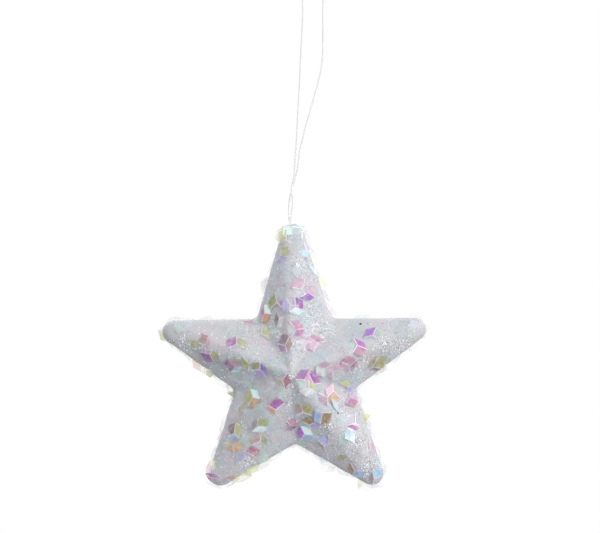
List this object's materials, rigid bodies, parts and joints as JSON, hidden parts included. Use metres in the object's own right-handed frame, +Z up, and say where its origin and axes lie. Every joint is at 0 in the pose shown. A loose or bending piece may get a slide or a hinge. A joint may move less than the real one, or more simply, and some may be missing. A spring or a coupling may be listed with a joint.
{
  "type": "hanging star ornament",
  "caption": "Five-armed foam star ornament with a glitter skin and iridescent hexagon flakes, hung by its top tip on a thin thread loop.",
  "frame": {"origin": "underside of the thread's bight at the top of the loop, where it bears on a hook", "axes": "+Z up, -Y towards the star's front face, +X to the right seen from the front"},
  "size_m": [0.1008, 0.0372, 0.19],
  "materials": {
    "foam": "moulded bead foam",
    "glitter": "fine glitter in glue",
    "film_pink": "iridescent film",
    "film_mint": "iridescent film",
    "film_olive": "iridescent film",
    "hot_glue": "set hot-melt glue",
    "thread": "twisted sewing thread"
  },
  "bodies": {
    "thread_loop": {"hanging_loop": "thread"},
    "thread_lead": {"thread_lead_left": "thread", "thread_lead_right": "thread"},
    "knot": {"tip_knot": "thread"},
    "star": {"foam_core": "foam", "glitter_coat": "glitter", "glue_plug": "hot_glue", "thread_tails": "thread", "front_flake_01": "film_pink", "front_flake_02": "film_mint", "front_flake_03": "film_olive", "front_flake_04": "film_pink", "front_flake_05": "film_mint", "front_flake_06": "film_olive", "front_flake_07": "film_pink", "front_flake_08": "film_mint", "front_flake_09": "film_olive", "front_flake_10": "film_pink", "front_flake_11": "film_mint", "front_flake_12": "film_olive", "front_flake_13": "film_pink", "front_flake_14": "film_mint", "front_flake_15": "film_olive", "front_flake_16": "film_pink", "front_flake_17": "film_mint", "front_flake_18": "film_olive", "front_flake_19": "film_pink", "front_flake_20": "film_mint", "front_flake_21": "film_olive", "front_flake_22": "film_pink", "front_flake_23": "film_mint", "front_flake_24": "film_olive", "front_flake_25": "film_pink", "rear_flake_01": "film_pink", "rear_flake_02": "film_mint", "rear_flake_03": "film_olive", "rear_flake_04": "film_pink", "rear_flake_05": "film_mint", "rear_flake_06": "film_olive", "rear_flake_07": "film_pink", "rear_flake_08": "film_mint", "rear_flake_09": "film_olive", "rear_flake_10": "film_pink", "rear_flake_11": "film_mint", "rear_flake_12": "film_olive", "rear_flake_13": "film_pink", "rear_flake_14": "film_mint", "rear_flake_15": "film_olive", "rear_flake_16": "film_pink", "rear_flake_17": "film_mint", "rear_flake_18": "film_olive", "rear_flake_19": "film_pink", "rear_flake_20": "film_mint", "rear_flake_21": "film_olive", "rear_flake_22": "film_pink", "rear_flake_23": "film_mint", "rear_flake_24": "film_olive", "rear_flake_25": "film_pink"}
  },
  "joints": [
    {"name": "thread_twist", "type": "hinge", "parent": "thread_loop", "child": "thread_lead", "pos_m": [-0.0091, 0, -0.07705], "axis": [0, 0, 1], "continuous": true},
    {"name": "star_sway", "type": "hinge", "parent": "thread_lead", "child": "knot", "pos_m": [-0.00985, 0, -0.08775], "axis": [0, 1, 0], "range_deg": [-60, 60]},
    {"name": "star_nod", "type": "hinge", "parent": "knot", "child": "star", "pos_m": [-0.00985, 0, -0.08775], "axis": [1, 0, 0], "range_deg": [-75, 75]}
  ]
}
